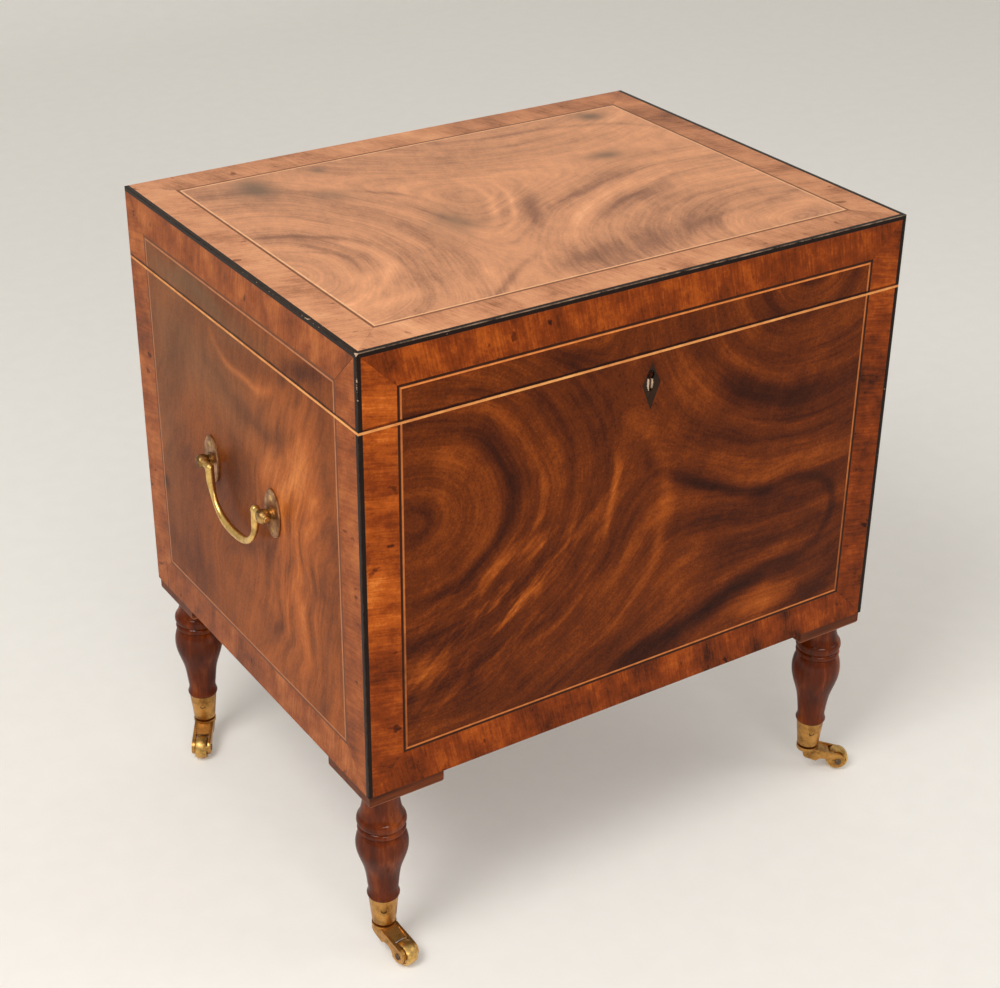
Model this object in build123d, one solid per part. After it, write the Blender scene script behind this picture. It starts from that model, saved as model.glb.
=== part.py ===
"""Antique mahogany cellarette: a lidded bottle chest on turned legs with brass castors.

Frame: the origin is on the floor under the middle of the chest, X to the right,
Y from the front to the back, Z up. All sizes are in millimetres.
"""
import math
import os

from build123d import *

os.makedirs("parts", exist_ok=True)

# The chest
case_width = 480.0
case_depth = 369.0
carcass_height = 300.0
lid_height = 57.5
wall = 12.0
bottom_thickness = 10.0
top_thickness = 10.0
lid_gap = 0.3

# Veneer, crossbanding and lines let into the faces
veneer = 1.5
band_width = 30.0
stringing_width = 3.6
edge_string = 3.5
rim_line_height = 1.8
rim_line_depth = 3.0

# Dovetails at the corners of the carcass and the lid
carcass_tails = 7
lid_tails = 2
tail_share = 0.62
tail_slope = 1 / 7

# Bottle partitions
partition_thickness = 8.0
partition_height = 240.0
bottle_columns = 4
bottle_rows = 3
slot_clearance = 0.1

# Corner blocks and turned legs
block_width = 65.0
block_depth = 64.0
block_thickness = 12.0
block_inset = 1.2
block_round = 4.0
leg_inset = 23.0
leg_length = 103.0
dowel_radius = 8.0
dowel_clearance = 0.05
neck_radius = 14.5
neck_flare = 2.9
neck_shoulder = 1.0
neck_waist_drop = 8.0
ring_radius = 19.3
bead_radius = 18.8
groove_radius = 17.5
bulb_radius = 20.5
ankle_radius = 12.0
foot_radius = 12.9
foot_step = 0.5
foot_end_radius = 12.2
ring_height = 9.5
bead_height = 5.5
bulb_start_slope = (0.5, -1)
taper_radius = 14.3
taper_drop = 23.5
ankle_drop = 40.8
foot_height = 3.5
foot_start_slope = (0.25, -1)

# Turned by hand, the legs differ: the length of each neck, and its bulb's level above the wooden end
leg_patterns = {
    "front_left": (24.5, 50.5),
    "front_right": (18.0, 51.0),
    "back_left": (18.0, 53.0),
    "back_right": (18.0, 52.0),
}

# Brass castors
cup_height = 27.0
cup_top_radius = 11.9
cup_bottom_radius = 9.2
cup_wall = 1.3
cup_base = 4.5
cup_round = 3.0
tenon_length = 18.0
tenon_taper = 1.3
cup_clearance = 0.05
swivel_gap = 0.3
swivel_radius = 2.5
running_clearance = 0.06
rivet_radius = 3.8
rivet_height = 1.4
hub_radius = 9.7
hub_height = 4.2
hub_round = 1.4
castor_trail = 27.0
wheel_radius = 10.0
wheel_width = 10.6
wheel_side_gap = 0.4
wheel_crown = 0.8
wheel_edge_step = 0.6
wheel_dish = 1.6
wheel_boss_wall = 2.2
wheel_rim_wall = 2.2
wheel_dish_slope = 0.4
axle_drop = 14.7
axle_radius = 2.0
axle_clearance = 0.02
axle_head_radius = 2.8
axle_head_height = 0.5
cheek_thickness = 2.6
cheek_round = 6.8
cheek_rise = 0.6
cheek_setback = 0.5
cheek_neck_height = 10.0
cheek_edge_round = 1.1
arch_radius = 8.0
arch_reach = 12.5
arch_drop = 19.0
web_start = 6.0
web_start_drop = 1.2
web_end = 19.2
web_end_drop = 6.4
web_lip = 16.8
web_lip_drop = 10.6
castor_angles = {
    "front_left": -82.0,
    "front_right": -32.0,
    "back_left": -123.0,
    "back_right": 90.0,
}

# Side handles
handle_drop_from_rim = 123.4
post_spacing = 102.6
plate_height = 40.0
plate_screw_level = 0.33
plate_width = 24.0
plate_thickness = 2.0
plate_bevel = 0.8
pivot_stand_off = 9.0
post_neck_radius = 3.6
post_barrel_radius = 5.7
post_barrel_start = 4.2
post_barrel_middle = 8.4
post_barrel_end = 12.8
post_end_radius = 4.5
post_length = 14.0
post_crown_radius = 1.6
post_collar_radius = 5.1
post_collar_height = 0.9
shank_setback = 0.5
post_shank_radius = 2.2
shank_clearance = 0.1
nut_size = 10.0
nut_thickness = 3.0
nut_clearance = 0.3
pin_radius = 1.6
bail_half_span = 38.8
bail_drop = 38.8
bail_squareness = 2.5
bail_radii = (3.6, 3.4, 3.0, 2.5, 2.4, 2.6, 2.8, 3.0, 3.2, 3.3, 3.4)
bail_knuckle_radius = 3.6
bail_stub_radius = 3.0
bail_stub_gap = 0.4
bail_rivet_radius = 2.4
bail_rivet_length = 1.0
bail_rivet_edge = 0.4

# Lid hinges
hinge_offset = 150.0
hinge_length = 50.0
hinge_knuckles = 5
hinge_leaf_width = 11.5
hinge_leaf_thickness = 1.5
barrel_radius = 3.0
barrel_clearance = 0.3
knuckle_gap = 0.3
hinge_pin_radius = 1.5

# Lock, link plate and escutcheon
keyhole_x = 1.3
keyhole_drop = 17.5
keyhole_radius = 2.8
keyhole_slot_width = 2.6
keyhole_slot_length = 13.0
escutcheon_x = 2.2
escutcheon_drop = 27.0
escutcheon_height = 38.0
escutcheon_width = 16.5
escutcheon_corner_rise = 2.2
lock_width = 58.0
lock_height = 42.0
lock_depth = 8.5
lock_plate = 1.5
lock_side_plate = 4.0
lock_screw_spread = 24.0
lock_screw_levels = (0.5, 0.88)
bolt_travel = 6.0
bolt_height = 3.0
bolt_thickness = 3.0
bolt_clearance = 0.25
finger_radius = 1.3
finger_length = 6.0
finger_level = 6.0
riser_width = 3.0
staple_spacing = 26.0
staple_width = 4.4
staple_thickness = 2.0
staple_length = 9.0
staple_hole_radius = 1.7
staple_clearance = 0.9
link_plate_length = 46.0
link_plate_thickness = 1.5
link_plate_width = 9.0
link_screw_inset = 4.0

# Screws
screw_head_radius = 2.4
screw_shank_radius = 1.2
screw_length = 9.0
screw_clearance = 0.05
cup_screw_length = 6.0
cup_screw_level = 0.36
cup_screw_sink = 0.1
cup_screw_angles = (-120.0, 60.0)

# Levels and faces that the pieces share
cup_bottom_z = wheel_radius + axle_drop + swivel_gap
cup_top_z = cup_bottom_z + cup_height
block_bottom_z = cup_top_z + leg_length
carcass_z = block_bottom_z + block_thickness
floor_z = carcass_z + bottom_thickness
rim_z = carcass_z + carcass_height
lid_z = rim_z + lid_gap
top_z = rim_z + lid_height
side_x = case_width / 2
face_y = case_depth / 2
board_x = side_x - veneer
front_y = -(face_y - veneer)
inner_x = board_x - wall
inner_front_y = front_y + wall
inner_back_y = face_y - wall
lid_wall_top = top_z - veneer - top_thickness
handle_z = rim_z - handle_drop_from_rim
hinge_axis_y = face_y + barrel_radius + barrel_clearance
hinge_axis_z = rim_z + lid_gap / 2
leg_x = side_x - leg_inset
leg_y = face_y - leg_inset
corners = {
    "front_left": (-1, -1),
    "front_right": (1, -1),
    "back_left": (-1, 1),
    "back_right": (1, 1),
}


def save(node, *solids):
    """Write one node, a single piece or a group of like pieces."""
    shape = solids[0] if len(solids) == 1 else Compound(list(solids))
    export_step(shape, f"parts/{node}.step")


def block(x0, x1, y0, y1, z0, z1):
    """A box between two opposite corners."""
    place = Pos((x0 + x1) / 2, (y0 + y1) / 2, (z0 + z1) / 2)
    return place * Box(x1 - x0, y1 - y0, z1 - z0)


def rod(start, end, radius):
    """A round rod between two points."""
    axis = Vector(*end) - Vector(*start)
    plane = Plane(origin=start, z_dir=tuple(axis))
    return extrude(plane * Circle(radius), amount=axis.length)


def cut(shape, *tools):
    """Take several tools away from one piece."""
    for tool in tools:
        shape = shape - tool
    return shape


def sheet(face, points, depth):
    """A flat piece let into one face of the chest, flush with it."""
    outline = make_face(Polyline(*points, close=True))
    planes = {
        "front": Plane.XZ.offset(face_y - depth),
        "left": Plane.YZ.offset(-side_x),
        "right": Plane.YZ.offset(side_x - depth),
        "top": Plane.XY.offset(top_z - depth),
    }
    return extrude(planes[face] * outline, amount=depth)


def rectangle(u0, u1, v0, v1):
    return [(u0, v0), (u1, v0), (u1, v1), (u0, v1)]


def tail_row(x_sign, y_root, y_end, z0, z1, count):
    """The tails on one end of a side board, wider at their ends than at their roots."""
    pitch = (z1 - z0) / count
    end_half = pitch * tail_share / 2
    root_half = end_half - abs(y_end - y_root) * tail_slope
    row = []
    for index in range(count):
        level = z0 + pitch * (index + 0.5)
        outline = [
            (y_root, level - root_half),
            (y_end, level - end_half),
            (y_end, level + end_half),
            (y_root, level + root_half),
        ]
        start = inner_x if x_sign > 0 else -board_x
        face = Plane.YZ.offset(start) * make_face(Polyline(*outline, close=True))
        row.append(extrude(face, amount=wall))
    return row


def dovetailed_walls(z0, z1, count):
    """Four boards joined by through dovetails: front, back, left and right."""
    front = block(-board_x, board_x, front_y, inner_front_y, z0, z1)
    back = block(-board_x, board_x, inner_back_y, face_y, z0, z1)
    sides = []
    for x_sign in (-1, 1):
        x_low = -board_x if x_sign < 0 else inner_x
        side = block(x_low, x_low + wall, inner_front_y, inner_back_y, z0, z1)
        front_tails = tail_row(x_sign, inner_front_y, front_y, z0, z1, count)
        back_tails = tail_row(x_sign, inner_back_y, face_y, z0, z1, count)
        front = cut(front, *front_tails)
        back = cut(back, *back_tails)
        for tail in front_tails + back_tails:
            side = side + tail
        sides.append(side)
    return front, back, sides[0], sides[1]


def veneered_face(face, outer, inner):
    """The panel, its line and the crossbands of one face.

    A side where the inner and the outer edge are the same has no band and no line.
    """
    u0, u1, v0, v1 = outer
    a0, a1, b0, b1 = inner
    bands = []
    if b0 > v0:
        bands.append(sheet(face, [(u0, v0), (u1, v0), (a1, b0), (a0, b0)], veneer))
    if b1 < v1:
        bands.append(sheet(face, [(u0, v1), (a0, b1), (a1, b1), (u1, v1)], veneer))
    bands.append(sheet(face, [(u0, v0), (a0, b0), (a0, b1), (u0, v1)], veneer))
    bands.append(sheet(face, [(u1, v0), (u1, v1), (a1, b1), (a1, b0)], veneer))
    c0 = a0 + stringing_width
    c1 = a1 - stringing_width
    d0 = b0 + stringing_width if b0 > v0 else b0
    d1 = b1 - stringing_width if b1 < v1 else b1
    panel = sheet(face, rectangle(c0, c1, d0, d1), veneer)
    line = sheet(face, rectangle(a0, a1, b0, b1), veneer) - panel
    return panel, line, bands


# Screws share one form: a countersunk head flush with what it holds, and a plain shank
def screw(length, grow=0.0):
    """A countersunk screw with its head's face at the origin, pointing down."""
    head_drop = screw_head_radius - screw_shank_radius
    outline = [
        (0, 0),
        (screw_head_radius + grow, 0),
        (screw_shank_radius + grow, -head_drop),
        (screw_shank_radius + grow, -length - grow),
        (0, -length - grow),
    ]
    return revolve(Plane.XZ * make_face(Polyline(*outline, close=True)), Axis.Z)


def screw_holes(places, length):
    return [place * screw(length, screw_clearance) for place in places]


# Edge strings and the rim line take their room out of the boards behind the veneer
carcass_strings = []
lid_strings = []
for sign in (-1, 1):
    x_edge = sorted((sign * side_x, sign * (side_x - edge_string)))
    y_edge = (-face_y, -face_y + edge_string)
    carcass_strings.append(block(*x_edge, *y_edge, carcass_z, rim_z - rim_line_height))
    lid_strings.append(block(*x_edge, *y_edge, lid_z, top_z))
    lid_strings.append(block(*x_edge, y_edge[1], face_y, top_z - edge_string, top_z))
string_x = side_x - edge_string
string_y = -face_y + edge_string
lid_strings.append(block(-string_x, string_x, -face_y, string_y, top_z - edge_string, top_z))

rim_low = rim_z - rim_line_height
rim_lines = [block(-side_x, side_x, -face_y, -face_y + rim_line_depth, rim_low, rim_z)]
for sign in (-1, 1):
    x_edge = sorted((sign * side_x, sign * (side_x - rim_line_depth)))
    rim_lines.append(block(*x_edge, -face_y + rim_line_depth, face_y, rim_low, rim_z))

# Hinge leaves: the lower one lies in the carcass's back edge, the upper one in the lid's
leaf_y0 = face_y - hinge_leaf_width
knuckle_pitch = hinge_length / hinge_knuckles
lower_leaves = []
upper_leaves = []
hinge_pins = []
lower_screw_places = []
upper_screw_places = []
for sign in (-1, 1):
    start = sign * hinge_offset - hinge_length / 2
    end = start + hinge_length
    bore_radius = hinge_pin_radius + running_clearance
    bore = rod((start - 1, hinge_axis_y, hinge_axis_z), (end + 1, hinge_axis_y, hinge_axis_z), bore_radius)
    lower = block(start, end, leaf_y0, hinge_axis_y, rim_z - hinge_leaf_thickness, rim_z)
    upper = block(start, end, leaf_y0, hinge_axis_y, lid_z, lid_z + hinge_leaf_thickness)
    knuckle_rods = ([], [])
    gaps = ([], [])
    for index in range(hinge_knuckles):
        x_low = start + index * knuckle_pitch
        x_high = x_low + knuckle_pitch
        ends = ((x_low, hinge_axis_y, hinge_axis_z), (x_high, hinge_axis_y, hinge_axis_z))
        owner = index % 2
        knuckle_rods[owner].append(rod(*ends, barrel_radius))
        clear_low = x_low - knuckle_gap if index else x_low - 1
        clear_high = x_high + knuckle_gap if index < hinge_knuckles - 1 else x_high + 1
        room = barrel_radius + barrel_clearance
        gaps[1 - owner].append(
            block(clear_low, clear_high, face_y, hinge_axis_y + room, hinge_axis_z - room, hinge_axis_z + room)
        )
    lower = cut(lower, *gaps[0])
    upper = cut(upper, *gaps[1])
    for knuckle in knuckle_rods[0]:
        lower = lower + knuckle
    for knuckle in knuckle_rods[1]:
        upper = upper + knuckle
    lower = cut(lower, bore)
    upper = cut(upper, bore)
    for index in range(3):
        x_screw = sign * hinge_offset + (index - 1) * hinge_length / 3
        y_screw = face_y - hinge_leaf_width / 2
        lower_screw_places.append(Pos(x_screw, y_screw, rim_z))
        upper_screw_places.append(Pos(x_screw, y_screw, lid_z) * Rot(180, 0, 0))
    lower_leaves.append(lower)
    upper_leaves.append(upper)
    hinge_pins.append(
        rod((start, hinge_axis_y, hinge_axis_z), (end, hinge_axis_y, hinge_axis_z), hinge_pin_radius)
    )
lower_screw_holes = screw_holes(lower_screw_places, screw_length)
upper_screw_holes = screw_holes(upper_screw_places, screw_length)
save("hinge_case_leaves", *[cut(leaf, *lower_screw_holes) for leaf in lower_leaves])
save("hinge_lid_leaves", *[cut(leaf, *upper_screw_holes) for leaf in upper_leaves])
save("hinge_pins", *hinge_pins)

# Box lock in the front board, with a sliding bolt whose fingers pass through two staples
keyhole_z = rim_z - keyhole_drop
escutcheon_z = rim_z - escutcheon_drop
lock_x0 = keyhole_x - lock_width / 2
lock_x1 = keyhole_x + lock_width / 2
lock_y0 = inner_front_y - lock_depth
lock_z0 = rim_z - lock_height
bolt_y = lock_y0 + lock_depth / 2
finger_z = rim_z - lock_plate - finger_level
bolt_top = rim_z - lock_plate - staple_length - bolt_clearance
bolt_low = bolt_top - bolt_height
chamber_half = staple_spacing / 2 + staple_thickness / 2 + bolt_travel + riser_width + finger_length
bolt_half_y = bolt_thickness / 2
chamber = block(
    keyhole_x - chamber_half - bolt_clearance,
    keyhole_x + chamber_half + bolt_clearance,
    bolt_y - staple_width / 2 - bolt_clearance,
    bolt_y + staple_width / 2 + bolt_clearance,
    bolt_low - bolt_clearance,
    rim_z - lock_plate,
)


def keyhole(y0, y1, grow=0.0):
    """The round and the slot of the keyhole, cut along Y."""
    round_part = rod((keyhole_x, y0, keyhole_z), (keyhole_x, y1, keyhole_z), keyhole_radius + grow)
    half = keyhole_slot_width / 2 + grow
    low = keyhole_z - keyhole_slot_length - grow
    return round_part + block(keyhole_x - half, keyhole_x + half, y0, y1, low, keyhole_z)


staple_slots = []
staples = []
bolt_fingers = []
for sign in (-1, 1):
    x_staple = keyhole_x + sign * staple_spacing / 2
    half_x = staple_thickness / 2
    half_y = staple_width / 2
    tab = block(
        x_staple - half_x,
        x_staple + half_x,
        bolt_y - half_y,
        bolt_y + half_y,
        lid_z - lock_plate - staple_length + lid_gap,
        lid_z,
    )
    hole_x = half_x + 1
    hole = rod((x_staple - hole_x, bolt_y, finger_z), (x_staple + hole_x, bolt_y, finger_z), staple_hole_radius)
    staples.append(tab - hole)
    staple_slots.append(
        block(
            x_staple - half_x - staple_clearance,
            x_staple + half_x + staple_clearance,
            bolt_y - half_y - staple_clearance,
            bolt_y + half_y + staple_clearance,
            finger_z - staple_hole_radius,
            rim_z + 1,
        )
    )
    finger_end = x_staple - half_x - bolt_clearance * 2
    finger_start = finger_end - finger_length
    finger = rod((finger_start, bolt_y, finger_z), (finger_end, bolt_y, finger_z), finger_radius)
    riser = block(
        finger_start - riser_width,
        finger_start,
        bolt_y - bolt_half_y,
        bolt_y + bolt_half_y,
        bolt_low,
        finger_z + finger_radius,
    )
    bolt_fingers.append(finger + riser)

bolt_x0 = keyhole_x - staple_spacing / 2 - staple_thickness / 2 - 2 * bolt_clearance - finger_length - riser_width
bolt_x1 = bolt_x0 + staple_spacing + riser_width
bolt = block(bolt_x0, bolt_x1, bolt_y - bolt_half_y, bolt_y + bolt_half_y, bolt_low, bolt_top)
for finger in bolt_fingers:
    bolt = bolt + finger
save("lock_bolt", bolt)

lock_body = block(lock_x0, lock_x1, lock_y0, inner_front_y, lock_z0, rim_z)
selvage = block(
    lock_x0 - lock_side_plate,
    lock_x1 + lock_side_plate,
    lock_y0,
    inner_front_y,
    rim_z - lock_plate,
    rim_z,
)
lock_mortise = lock_body + selvage
lock_screw_places = []
for sign in (-1, 1):
    for level in lock_screw_levels:
        place = Pos(keyhole_x + sign * lock_screw_spread, inner_front_y, rim_z - lock_height * level)
        lock_screw_places.append(place * Rot(-90, 0, 0))
lock_screw_holes = screw_holes(lock_screw_places, screw_length)
key_well = keyhole(lock_y0 - 1, inner_front_y - lock_plate)
lock_case = cut(lock_mortise, chamber, key_well, *staple_slots, *lock_screw_holes)
save("lock_case", lock_case)

link_plate = block(
    keyhole_x - link_plate_length / 2,
    keyhole_x + link_plate_length / 2,
    bolt_y - link_plate_width / 2,
    bolt_y + link_plate_width / 2,
    lid_z,
    lid_z + link_plate_thickness,
)
link_screw_places = []
for sign in (-1, 1):
    x_screw = keyhole_x + sign * (link_plate_length / 2 - link_screw_inset)
    link_screw_places.append(Pos(x_screw, bolt_y, lid_z) * Rot(180, 0, 0))
link_screw_holes = screw_holes(link_screw_places, screw_length)
stapled_plate = cut(link_plate, *link_screw_holes)
for staple in staples:
    stapled_plate = stapled_plate + staple
save("lock_link_plate", stapled_plate)

# Escutcheon: a lozenge let into the front veneer
half_height = escutcheon_height / 2
half_width = escutcheon_width / 2
lozenge = [
    (escutcheon_x, escutcheon_z - half_height),
    (escutcheon_x + half_width, escutcheon_z + escutcheon_corner_rise),
    (escutcheon_x, escutcheon_z + half_height),
    (escutcheon_x - half_width, escutcheon_z + escutcheon_corner_rise),
]
lozenge_sheet = sheet("front", lozenge, veneer)
keyhole_front = keyhole(-face_y - 1, lock_y0 + 1)
save("escutcheon", lozenge_sheet - keyhole_front)

# Handles: posts bolted through the sides carry a bail that hangs between them
post_half = post_spacing / 2


def turned_post():
    """A post standing on the outer face of a side, with its eye bored along X."""
    shank_end = -wall - veneer + shank_setback
    outline = [
        (0, shank_end),
        (post_shank_radius, shank_end),
        (post_shank_radius, plate_thickness),
        (post_collar_radius, plate_thickness),
        (post_collar_radius, plate_thickness + post_collar_height),
        (post_neck_radius, plate_thickness + post_collar_height),
        (post_neck_radius, post_barrel_start),
    ]
    barrel_end = (post_end_radius, post_barrel_end)
    crown_edge = (post_crown_radius, post_length)
    barrel = ThreePointArc(outline[-1], (post_barrel_radius, post_barrel_middle), barrel_end)
    tip = TangentArc(crown_edge, barrel_end, tangent=(1, 0))
    end = Polyline(crown_edge, (0, post_length), outline[0])
    face = make_face([*Polyline(*outline).edges(), barrel, tip, *end.edges()])
    turned = revolve(Plane.XZ * face, Axis.Z)
    half = post_barrel_radius + 1
    eye_radius = pin_radius + running_clearance
    return turned - rod((-half, 0, pivot_stand_off), (half, 0, pivot_stand_off), eye_radius)


def bail(sign):
    """A bail that swells to its middle and its ends, with a knuckle, a stub and a riveted pin at each end."""
    x_pivot = sign * (side_x + pivot_stand_off)
    half_sections = []
    steps = len(bail_radii) - 1
    for index, radius in enumerate(bail_radii):
        turn = math.radians(90 * index / steps)
        across = max(math.cos(turn), 0) ** (2 / bail_squareness)
        down = math.sin(turn) ** (2 / bail_squareness)
        slope_y = down ** (bail_squareness - 1) / bail_drop
        slope_z = across ** (bail_squareness - 1) / bail_half_span
        centre = (0, -bail_half_span * across, -bail_drop * down)
        plane = Plane(origin=centre, x_dir=(1, 0, 0), z_dir=(0, slope_y, -slope_z))
        half_sections.append(plane * Circle(radius))
    half = loft(half_sections)
    shape = half + mirror(half, Plane.XZ)
    stub_end = post_half - post_barrel_radius - bail_stub_gap
    rivet_start = post_half + post_barrel_radius + bail_stub_gap
    rivet_end = rivet_start + bail_rivet_length
    for side in (-1, 1):
        knuckle = (0, side * bail_half_span, 0)
        rivet = rod((0, side * rivet_start, 0), (0, side * rivet_end, 0), bail_rivet_radius)
        rivet = chamfer(rivet.edges().sort_by(Axis.Y)[-1 if side > 0 else 0], bail_rivet_edge)
        shape = shape + rod(knuckle, (0, side * stub_end, 0), bail_stub_radius)
        shape = shape + rod(knuckle, (0, side * rivet_start, 0), pin_radius)
        shape = shape + Pos(*knuckle) * Sphere(bail_knuckle_radius) + rivet
    return Pos(x_pivot, 0, handle_z) * shape


post = turned_post()
posts = []
plates = []
nuts = []
nut_recesses = []
post_holes = []
plate_screw_places = []
for sign in (-1, 1):
    for side in (-1, 1):
        y_post = side * post_half
        stand = Pos(sign * side_x, y_post, handle_z) * Rot(0, sign * 90, 0)
        posts.append(stand * Rot(0, 0, 90) * post)
        plate = extrude(Ellipse(plate_height / 2, plate_width / 2), amount=plate_thickness)
        plate = chamfer(plate.edges().group_by(Axis.Z)[-1], plate_bevel)
        plate = stand * plate
        shank_hole = rod(
            (sign * (inner_x - 1), y_post, handle_z),
            (sign * (side_x + plate_thickness + 1), y_post, handle_z),
            post_shank_radius + shank_clearance,
        )
        post_holes.append(shank_hole)
        for end in (-1, 1):
            level = handle_z + end * plate_height * plate_screw_level
            surface = sign * (side_x + plate_thickness)
            plate_screw_places.append(Pos(surface, y_post, level) * Rot(0, sign * 90, 0))
        plates.append(plate - shank_hole)
        nut_x = sorted((sign * inner_x, sign * (inner_x + nut_thickness)))
        recess_x = sorted((sign * (inner_x - 1), sign * (inner_x + nut_thickness)))
        half = nut_size / 2
        room = half + nut_clearance
        nut = block(*nut_x, y_post - half, y_post + half, handle_z - half, handle_z + half)
        nuts.append(nut - shank_hole)
        nut_recesses.append(
            block(*recess_x, y_post - room, y_post + room, handle_z - room, handle_z + room)
        )
plate_screw_holes = screw_holes(plate_screw_places, screw_length)
save("handle_posts", *posts)
save("handle_plates", *[cut(plate, *plate_screw_holes) for plate in plates])
save("handle_nuts", *nuts)
save("left_bail", bail(-1))
save("right_bail", bail(1))

# Carcass boards
front, back, left, right = dovetailed_walls(carcass_z, rim_z, carcass_tails)
front = cut(front, *carcass_strings, *rim_lines, lock_mortise, keyhole_front, *lock_screw_holes)
leaf_recesses = []
for sign in (-1, 1):
    start = sign * hinge_offset - hinge_length / 2
    leaf_recesses.append(
        block(start, start + hinge_length, leaf_y0, face_y + 1, rim_z - hinge_leaf_thickness, rim_z + 1)
    )
save("front_board", front)
save("back_board", cut(back, *rim_lines, *leaf_recesses, *lower_screw_holes))
for sign, node, board in ((-1, "left_side_board", left), (1, "right_side_board", right)):
    tools = [tool for tool in post_holes + nut_recesses + plate_screw_holes if tool.center().X * sign > 0]
    save(node, cut(board, *tools, *carcass_strings, *rim_lines))
bottom = block(-inner_x, inner_x, inner_front_y, inner_back_y, carcass_z, floor_z)
save("bottom_board", bottom)

# Lid boards
front, back, left, right = dovetailed_walls(lid_z, lid_wall_top, lid_tails)
lid_top = block(-board_x, board_x, front_y, face_y, lid_wall_top, top_z - veneer)
upper_recesses = []
for sign in (-1, 1):
    start = sign * hinge_offset - hinge_length / 2
    upper_recesses.append(
        block(start, start + hinge_length, leaf_y0, face_y + 1, lid_z - 1, lid_z + hinge_leaf_thickness)
    )
save("lid_front_board", cut(front, *lid_strings, link_plate, *link_screw_holes))
save("lid_back_board", cut(back, *upper_recesses, *upper_screw_holes))
save("lid_side_boards", cut(left, *lid_strings), cut(right, *lid_strings))
save("lid_top_board", cut(lid_top, *lid_strings))

# Veneered faces: a figured panel inside a line and crossbands
side_low = -face_y + edge_string
carcass_high = rim_z - rim_line_height
lid_high = top_z - edge_string
panel_u = side_x - band_width
panel_v = face_y - band_width
carcass_face = (carcass_z, carcass_high)
lid_face = (lid_z, lid_high)
carcass_inner = (carcass_z + band_width, carcass_high)
lid_inner = (lid_z, top_z - band_width)
front_panel, front_line, front_bands = veneered_face(
    "front", (-string_x, string_x, *carcass_face), (-panel_u, panel_u, *carcass_inner)
)
left_panel, left_line, left_bands = veneered_face(
    "left", (side_low, face_y, *carcass_face), (-panel_v, panel_v, *carcass_inner)
)
right_panel, right_line, right_bands = veneered_face(
    "right", (side_low, face_y, *carcass_face), (-panel_v, panel_v, *carcass_inner)
)
side_bores = post_holes + plate_screw_holes
save("front_veneer", front_panel - lozenge_sheet)
save("side_veneers", cut(left_panel, *side_bores), cut(right_panel, *side_bores))
save("carcass_stringing", front_line, left_line, right_line)
save("carcass_crossbands", *front_bands, *left_bands, *right_bands)
save("carcass_edge_strings", *carcass_strings)
save("rim_lines", *rim_lines)

front_panel, front_line, front_bands = veneered_face(
    "front", (-string_x, string_x, *lid_face), (-panel_u, panel_u, *lid_inner)
)
left_panel, left_line, left_bands = veneered_face(
    "left", (side_low, face_y, *lid_face), (-panel_v, panel_v, *lid_inner)
)
right_panel, right_line, right_bands = veneered_face(
    "right", (side_low, face_y, *lid_face), (-panel_v, panel_v, *lid_inner)
)
top_panel, top_line, top_bands = veneered_face(
    "top", (-string_x, string_x, side_low, face_y), (-panel_u, panel_u, -panel_v, panel_v)
)
save("lid_front_veneer", front_panel)
save("lid_side_veneers", left_panel, right_panel)
save("lid_top_veneer", top_panel)
save("lid_stringing", front_line, left_line, right_line, top_line)
save("lid_crossbands", *front_bands, *left_bands, *right_bands, *top_bands)
save("lid_edge_strings", *lid_strings)

# Bottle partitions, halved over each other
partition_top = floor_z + partition_height
half_slot = partition_thickness / 2 + slot_clearance
column_pitch = (2 * inner_x + partition_thickness) / bottle_columns
row_pitch = (inner_back_y - inner_front_y + partition_thickness) / bottle_rows
columns = [-inner_x - partition_thickness / 2 + column_pitch * i for i in range(1, bottle_columns)]
rows = [inner_front_y - partition_thickness / 2 + row_pitch * i for i in range(1, bottle_rows)]
middle_z = floor_z + partition_height / 2
half_thickness = partition_thickness / 2
long_partitions = []
for y in rows:
    board = block(-inner_x, inner_x, y - half_thickness, y + half_thickness, floor_z, partition_top)
    for x in columns:
        slot_x = (x - half_slot, x + half_slot)
        board = board - block(*slot_x, y - half_slot, y + half_slot, middle_z, partition_top + 1)
    long_partitions.append(board)
cross_partitions = []
for x in columns:
    board = block(
        x - half_thickness, x + half_thickness, inner_front_y, inner_back_y, floor_z, partition_top
    )
    for y in rows:
        slot_y = (y - half_slot, y + half_slot)
        board = board - block(x - half_slot, x + half_slot, *slot_y, floor_z - 1, middle_z)
    cross_partitions.append(board)
save("long_partitions", *long_partitions)
save("cross_partitions", *cross_partitions)

# Corner blocks under the carcass, each bored for its leg's dowel
corner_blocks = []
dowel_room = dowel_radius + dowel_clearance
for x_sign, y_sign in corners.values():
    x_edge = sorted((x_sign * (side_x - block_inset), x_sign * (side_x - block_width)))
    y_edge = sorted((y_sign * (face_y - block_inset), y_sign * (face_y - block_depth)))
    shape = block(*x_edge, *y_edge, block_bottom_z, carcass_z)
    shape = fillet(shape.edges().group_by(Axis.Z)[0], block_round)
    hole = rod(
        (x_sign * leg_x, y_sign * leg_y, block_bottom_z - 1),
        (x_sign * leg_x, y_sign * leg_y, carcass_z + 1),
        dowel_room,
    )
    corner_blocks.append(shape - hole)
save("corner_blocks", *corner_blocks)


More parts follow.
